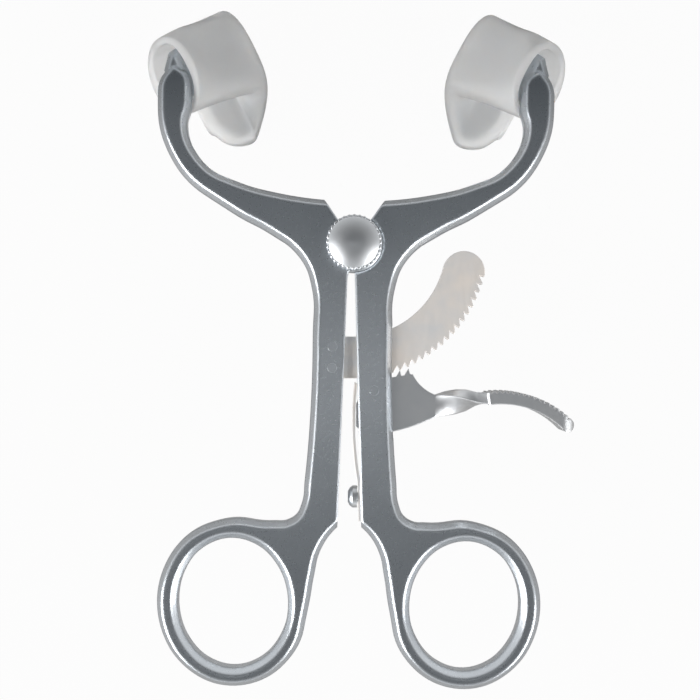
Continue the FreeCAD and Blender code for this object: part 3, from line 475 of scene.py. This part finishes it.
def make_cover(name, side, material):
    """Moulded silicone sleeve with a rounded mouth rim and a closed, rounded lip."""
    outer = cover_stations(COVER_GAP + COVER_WALL, 0.0, 0.0, BEND_CROWN, FLARE_FULLNESS)
    inner = cover_stations(COVER_GAP, MOUTH_RIM, MOUTH_WALL, 0.0, 0.0)
    outer_powers = OUTER_MOUTH_POWERS + [OUTER_POWER] * (len(outer) - len(OUTER_MOUTH_POWERS))
    inner_powers = INNER_MOUTH_POWERS + [INNER_POWER] * (len(inner) - len(INNER_MOUTH_POWERS))
    rings = skin_rings(side, inner, inner_powers)[::-1]
    rings += rim_rings(side, inner[0], outer[0], inner_powers[0], outer_powers[0])
    rings += skin_rings(side, outer, outer_powers)
    rings += tip_rings(side, outer[-1])
    vertices, faces = joined_rings(rings)
    faces.append(tuple(reversed(range(COVER_COUNT))))
    faces.append(tuple(range(len(vertices) - COVER_COUNT, len(vertices))))
    cover = new_object(name, vertices, turned_over(faces) if side > 0 else faces)
    dress(cover, material)
    return cover


def screw_profile():
    """Outline of the pivot screw, from the crown's middle to the stem's end: (radius, height, knurled)."""
    crown = []
    for step in range(CROWN_STEPS + 1):
        radius = CROWN_RADIUS * step / CROWN_STEPS
        crown.append((radius, CROWN_TOP - CROWN_SPHERE + math.sqrt(CROWN_SPHERE ** 2 - radius ** 2), 0))
    rim = crown[-1][1]
    edge = CROWN_RADIUS + 0.17
    lip = [(CROWN_RADIUS + 0.12, rim - 0.07, 0), (edge, rim - 0.2, 0), (edge, 8.5, 0)]
    band = [(5.4, 8.5, 1), (5.6, 8.44, 1), (5.7, 8.3, 1), (5.7, 5.8, 1), (5.62, 5.64, 1), (5.45, 5.56, 1)]
    stem = [(5.1, 5.55, 0), (2.5, 5.55, 0), (2.5, 2.8, 0), (2.1, 2.8, 0), (2.1, 0.2, 0), (1.9, 0.0, 0)]
    return crown + lip + band + stem


def make_pivot_screw(material):
    """Domed, knurled pivot screw."""
    (_, top_height, _), *outline = screw_profile()
    rings = []
    for radius, height, knurled in outline:
        ring = []
        for index in range(SCREW_COUNT):
            phase = (index * KNURLS / SCREW_COUNT) % 1.0
            reach = radius - KNURL_DEPTH * max(0.0, 1.0 - abs(phase - 0.5) / KNURL_HALF_WIDTH) * knurled
            angle = 2.0 * math.pi * index / SCREW_COUNT
            ring.append((reach * math.cos(angle) * MM, reach * math.sin(angle) * MM, height * MM))
        rings.append(ring)
    vertices, faces = joined_rings(rings)
    faces.append(tuple(range(len(vertices) - SCREW_COUNT, len(vertices))))
    faces = turned_over(faces)
    top = len(vertices)
    vertices.append((0.0, 0.0, top_height * MM))
    faces += [(top, index, (index + 1) % SCREW_COUNT) for index in range(SCREW_COUNT)]
    screw = new_object("domed_pivot_screw", vertices, faces)
    dress(screw, material)
    return screw


def make_spring(material):
    """A loose copy of the leaf spring, which lies between its screw and the lever's tail."""
    spring = copy_of_node("spring_blade", "leaf_spring")
    dress(spring, material)
    return spring


def make_camera():
    data = bpy.data.cameras.new("camera")
    data.sensor_width = SENSOR_WIDTH
    data.lens = SENSOR_WIDTH * VIEW_DISTANCE / VIEW_WIDTH
    data.clip_start = 0.01
    camera = bpy.data.objects.new("camera", data)
    camera.location = (*VIEW_CENTRE, PLATE_FRONT + VIEW_DISTANCE)
    camera.rotation_euler = (0.0, 0.0, math.radians(VIEW_ROLL))
    bpy.context.scene.collection.objects.link(camera)
    bpy.context.scene.camera = camera


def new_math(tree, operation, value=None):
    node = tree.nodes.new("ShaderNodeMath")
    node.operation = operation
    if value is not None:
        node.inputs[1].default_value = value
    return node


def seen_directly(tree):
    """Factor that is 1 for what the camera sees, directly or through the covers."""
    path = tree.nodes.new("ShaderNodeLightPath")
    total = new_math(tree, "MAXIMUM")
    tree.links.new(path.outputs["Is Camera Ray"], total.inputs[0])
    tree.links.new(path.outputs["Is Transmission Ray"], total.inputs[1])
    return total.outputs[0]


def paper():
    """Pale paper that takes shadows and shows white to the camera."""
    material = bpy.data.materials.new("floor_paper")
    material.use_nodes = True
    tree = material.node_tree
    shader = tree.nodes["Principled BSDF"]
    shader.inputs["Base Color"].default_value = FLOOR_COLOUR
    shader.inputs["Roughness"].default_value = FLOOR_ROUGHNESS
    glow = tree.nodes.new("ShaderNodeEmission")
    glow.inputs["Color"].default_value = (1.0, 1.0, 1.0, 1.0)
    glow.inputs["Strength"].default_value = 1.0
    mix = tree.nodes.new("ShaderNodeMixShader")
    share = new_math(tree, "MULTIPLY", FLOOR_WHITE)
    tree.links.new(seen_directly(tree), share.inputs[0])
    tree.links.new(share.outputs[0], mix.inputs["Fac"])
    tree.links.new(shader.outputs["BSDF"], mix.inputs[1])
    tree.links.new(glow.outputs["Emission"], mix.inputs[2])
    tree.links.new(mix.outputs["Shader"], tree.nodes["Material Output"].inputs["Surface"])
    return material


def make_floor():
    half = FLOOR_SIZE / 2
    height = cad_box[0].z - FLOOR_DROP
    corners = [(-half, -half, height), (half, -half, height), (half, half, height), (-half, half, height)]
    floor = new_object("floor", corners, [(0, 1, 2, 3)], smooth=False)
    dress(floor, paper())


def make_world():
    """Studio surroundings: a bright horizon all round, and a dim ceiling behind the camera."""
    world = bpy.data.worlds.new("studio")
    world.use_nodes = True
    bpy.context.scene.world = world
    tree = world.node_tree
    background = tree.nodes["Background"]
    place = tree.nodes.new("ShaderNodeTexCoord")
    split = tree.nodes.new("ShaderNodeSeparateXYZ")
    tree.links.new(place.outputs["Generated"], split.inputs["Vector"])
    ramp = tree.nodes.new("ShaderNodeValToRGB")
    ramp.color_ramp.interpolation = "EASE"
    stops = ramp.color_ramp.elements
    for position, *_ in SURROUNDINGS[1:-1]:
        stops.new(position)
    for stop, (position, *colour) in zip(stops, SURROUNDINGS):
        stop.position = position
        stop.color = (*colour, 1.0)
    tree.links.new(split.outputs["Z"], ramp.inputs["Fac"])
    tree.links.new(ramp.outputs["Color"], background.inputs["Color"])
    background.inputs["Strength"].default_value = 1.0


def make_lamp(name, place, target, size, power):
    data = bpy.data.lights.new(name, "AREA")
    data.shape = "RECTANGLE"
    data.size, data.size_y = size
    data.energy = power
    lamp = bpy.data.objects.new(name, data)
    lamp.location = place
    lamp.rotation_euler = (Vector(target) - Vector(place)).to_track_quat("-Z", "Y").to_euler()
    bpy.context.scene.collection.objects.link(lamp)


def make_lamps():
    aim = (0.0, -0.02, 0.0)
    make_lamp("lamp_left", (-0.72, -0.42, 0.42), aim, (0.6, 0.5), 7.0)
    make_lamp("lamp_right", (0.72, -0.5, 0.42), aim, (0.6, 0.5), 5.0)
    make_lamp("lamp_above", (0.0, -0.06, 1.1), (0.0, -0.03, 0.0), (0.5, 0.08), 0.12)


make_camera()
make_world()
make_lamps()
make_floor()

SATIN_TONES = ((0.70, 0.74, 0.78), (0.75, 0.79, 0.83))
SATIN = (SATIN_TONES, 0.28, EVEN, 2600.0, 0.0004 * MM, 1.0 * MM)
RIVETS = ((-4.15 * MM, -23.65 * MM), (2.3 * MM, 5.0 * MM))
PIN = ((4.6 * MM, -30.4 * MM), (2.3 * MM, 2.6 * MM))
# The arms' hooked blades take painted shade inside the covers.
satin_left = steel("satin_left", *SATIN, sharp=RIVETS, blade=True)
satin_right = steel("satin_right", *SATIN, sharp=PIN, blade=True)
plate = steel("brushed_plate", ((0.86, 0.87, 0.88), (1.0, 0.94, 0.88)), 0.62, LENGTHWISE, 1500.0,
              0.01 * MM, 0.2 * MM)
lever = steel("ground_lever", ((0.80, 0.82, 0.84), (0.88, 0.89, 0.9)), 0.38, LENGTHWISE, 1500.0,
              0.002 * MM, 0.5 * MM)
polished = steel("polished_steel", ((0.76, 0.78, 0.80), (0.8, 0.82, 0.84)), 0.36, EVEN, 900.0,
                 0.001 * MM, 0.15 * MM)
ground = steel("ground_steel", ((0.80, 0.84, 0.88), (0.86, 0.9, 0.94)), 0.3, EVEN, 1200.0,
               0.001 * MM, 0.05 * MM)
flush = steel("flush_pin_steel", SATIN_TONES, 0.28, EVEN, 1200.0, 0.0004 * MM, 0.05 * MM)
rubber = silicone("milky_silicone")

dress_node("left_arm", satin_left)
dress_node("right_arm", satin_right)
dress_node("ratchet_bar", plate)
dress_node("release_lever", lever)
dress_node("spring_screw", polished)
dress_node("ratchet_rivets", ground)
dress_node("lever_pin", flush)

for side, name in ((-1, "left"), (1, "right")):
    cover = make_cover(f"{name}_sleeve", side, rubber)
    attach(cover, f"{name}_arm")
    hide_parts(f"{name}_tip_cover")

screw = make_pivot_screw(polished)
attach(screw, "right_arm")
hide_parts("pivot_screw")

spring = make_spring(plate)
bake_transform(spring)
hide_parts("leaf_spring")

bpy.context.scene.view_settings.view_transform = "Standard"
